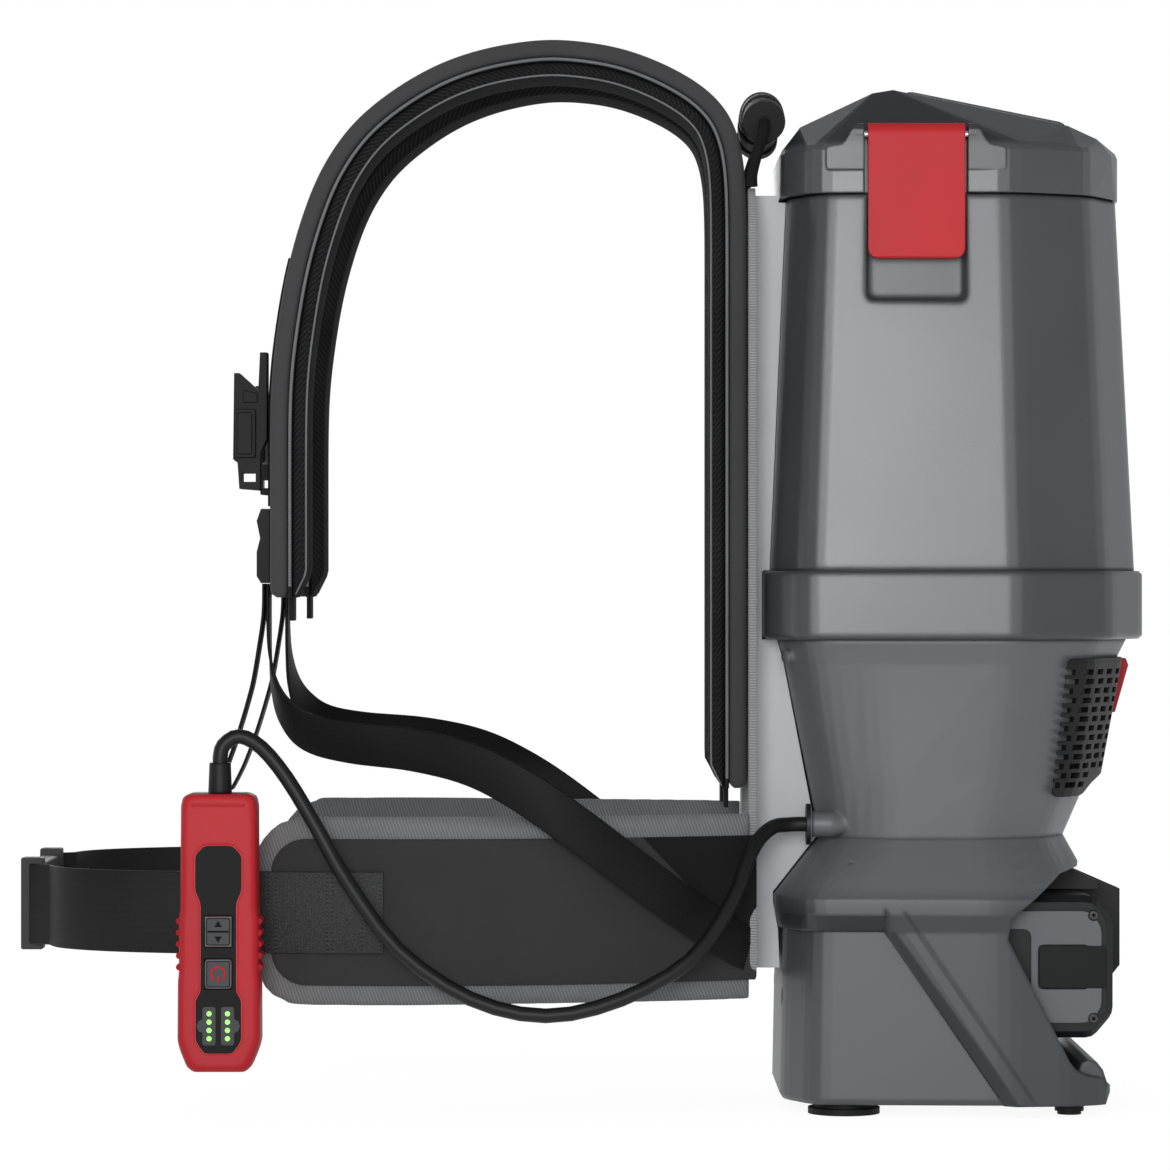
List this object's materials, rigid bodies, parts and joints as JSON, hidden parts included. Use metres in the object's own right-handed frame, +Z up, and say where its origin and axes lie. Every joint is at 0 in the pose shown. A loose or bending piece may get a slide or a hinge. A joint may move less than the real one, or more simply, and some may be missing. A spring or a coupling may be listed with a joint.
{
  "type": "backpack vacuum cleaner",
  "caption": "Cordless backpack vacuum: tapered dust canister, waisted motor housing, flared base with slide-in batteries, padded harness, hip belt and wired remote",
  "frame": {"origin": "on the floor under the middle of the vacuum and its harness, the remote and its cord left out", "axes": "+X from the wearer to the back of the machine, +Y to the right of the machine seen from the wearer, +Z up"},
  "size_m": [0.6622, 0.3097, 0.6276],
  "materials": {
    "body_plastic": "satin",
    "band_plastic": "satin",
    "housing_plastic": "satin",
    "base_plastic": "satin",
    "shell_plastic": "satin",
    "lid_plastic": "satin",
    "black_plastic": "matte",
    "rubber_black": "matte",
    "red_plastic": "satin",
    "frame_plastic": "satin",
    "motor_case": "satin",
    "filter_felt": "matte",
    "circuit_board": "matte",
    "steel": "brushed",
    "pad_fabric": "matte",
    "mesh_fabric": "matte",
    "core_webbing": "matte",
    "hip_fabric": "matte",
    "webbing": "matte",
    "battery_plastic": "satin",
    "battery_cheek": "matte",
    "led_green": "gloss"
  },
  "bodies": {
    "vacuum": {"canister": "body_plastic", "collar_band": "band_plastic", "motor_housing": "housing_plastic", "base_housing": "base_plastic", "rear_shell": "shell_plastic", "feet": "rubber_black", "bulkhead": "black_plastic", "motor": "motor_case", "premotor_filter": "filter_felt", "filter_grid": "black_plastic", "control_box": "circuit_board", "exhaust_filter": "filter_felt", "battery_dock": "black_plastic", "housing_screws": "steel", "cable_gland": "rubber_black", "back_frame": "frame_plastic", "harness_plate": "black_plastic", "strap_left": "pad_fabric", "strap_right": "pad_fabric", "strap_core_left": "core_webbing", "strap_core_right": "core_webbing", "strap_mesh_left": "mesh_fabric", "strap_mesh_right": "mesh_fabric", "hip_pad_left": "hip_fabric", "hip_pad_right": "hip_fabric", "hip_panels": "mesh_fabric", "belt_left": "webbing", "buckle_female": "black_plastic", "lower_strap_left": "webbing", "lower_strap_right": "webbing", "strap_webbing": "webbing", "ladder_locks": "black_plastic", "carry_handle": "rubber_black", "handle_rope": "webbing", "remote_case": "red_plastic", "remote_panel": "black_plastic", "remote_leds": "led_green", "remote_clip": "black_plastic", "remote_cord": "rubber_black"},
    "lid": {"lid": "lid_plastic", "lid_gasket": "rubber_black", "hose_port": "black_plastic", "latch_pins": "steel"},
    "latch_left": {"latch_left": "red_plastic"},
    "latch_right": {"latch_right": "red_plastic"},
    "exhaust_cover": {"exhaust_cover": "black_plastic"},
    "exhaust_tab": {"exhaust_tab": "red_plastic"},
    "battery_left": {"battery_left": "battery_plastic", "battery_pad_left": "battery_cheek"},
    "battery_right": {"battery_right": "battery_plastic", "battery_pad_right": "battery_cheek"},
    "battery_button_left": {"battery_button_left": "red_plastic"},
    "battery_button_right": {"battery_button_right": "red_plastic"},
    "speed_rocker": {"speed_rocker": "black_plastic"},
    "power_button": {"power_button": "black_plastic"},
    "sternum": {"sternum_bracket": "black_plastic", "sternum_strap": "webbing", "sternum_buckle": "black_plastic"},
    "buckle_male": {"buckle_male": "black_plastic", "belt_right": "webbing"}
  },
  "joints": [
    {"name": "lid_lift", "type": "slide", "parent": "vacuum", "child": "lid", "axis": [0.2008, 0, 0.9796], "range_m": [0, 0.16]},
    {"name": "latch_left_turn", "type": "hinge", "parent": "lid", "child": "latch_left", "pos_m": [0.191, -0.1032, 0.5689], "axis": [-1, 0, 0], "range_deg": [0, 110]},
    {"name": "latch_right_turn", "type": "hinge", "parent": "lid", "child": "latch_right", "pos_m": [0.191, 0.1032, 0.5689], "axis": [1, 0, 0], "range_deg": [0, 110]},
    {"name": "exhaust_cover_pull", "type": "slide", "parent": "vacuum", "child": "exhaust_cover", "axis": [1, 0, 0], "range_m": [0, 0.08]},
    {"name": "exhaust_tab_flex", "type": "hinge", "parent": "exhaust_cover", "child": "exhaust_tab", "pos_m": [0.31225, 0, 0.2313], "axis": [0, 1, 0], "range_deg": [0, 22], "stiffness_Nm_per_rad": 0.1},
    {"name": "battery_left_pull", "type": "slide", "parent": "vacuum", "child": "battery_left", "axis": [1, 0, 0], "range_m": [0, 0.12]},
    {"name": "battery_right_pull", "type": "slide", "parent": "vacuum", "child": "battery_right", "axis": [1, 0, 0], "range_m": [0, 0.12]},
    {"name": "battery_button_left_press", "type": "slide", "parent": "battery_left", "child": "battery_button_left", "axis": [-1, 0, 0], "range_m": [0, 0.002], "stiffness_N_per_m": 400},
    {"name": "battery_button_right_press", "type": "slide", "parent": "battery_right", "child": "battery_button_right", "axis": [-1, 0, 0], "range_m": [0, 0.002], "stiffness_N_per_m": 400},
    {"name": "speed_rocker_tilt", "type": "hinge", "parent": "vacuum", "child": "speed_rocker", "pos_m": [-0.208, -0.165, 0.112], "axis": [1, 0, 0], "range_deg": [-3, 3], "stiffness_Nm_per_rad": 0.2},
    {"name": "power_button_press", "type": "slide", "parent": "vacuum", "child": "power_button", "axis": [0, 1, 0], "range_m": [0, 0.0008], "stiffness_N_per_m": 400},
    {"name": "sternum_slide", "type": "slide", "parent": "vacuum", "child": "sternum", "axis": [0, 0, 1], "range_m": [-0.009, 0.03]},
    {"name": "waist_buckle_pull", "type": "slide", "parent": "vacuum", "child": "buckle_male", "axis": [0, 1, 0], "range_m": [0, 0.03]}
  ]
}
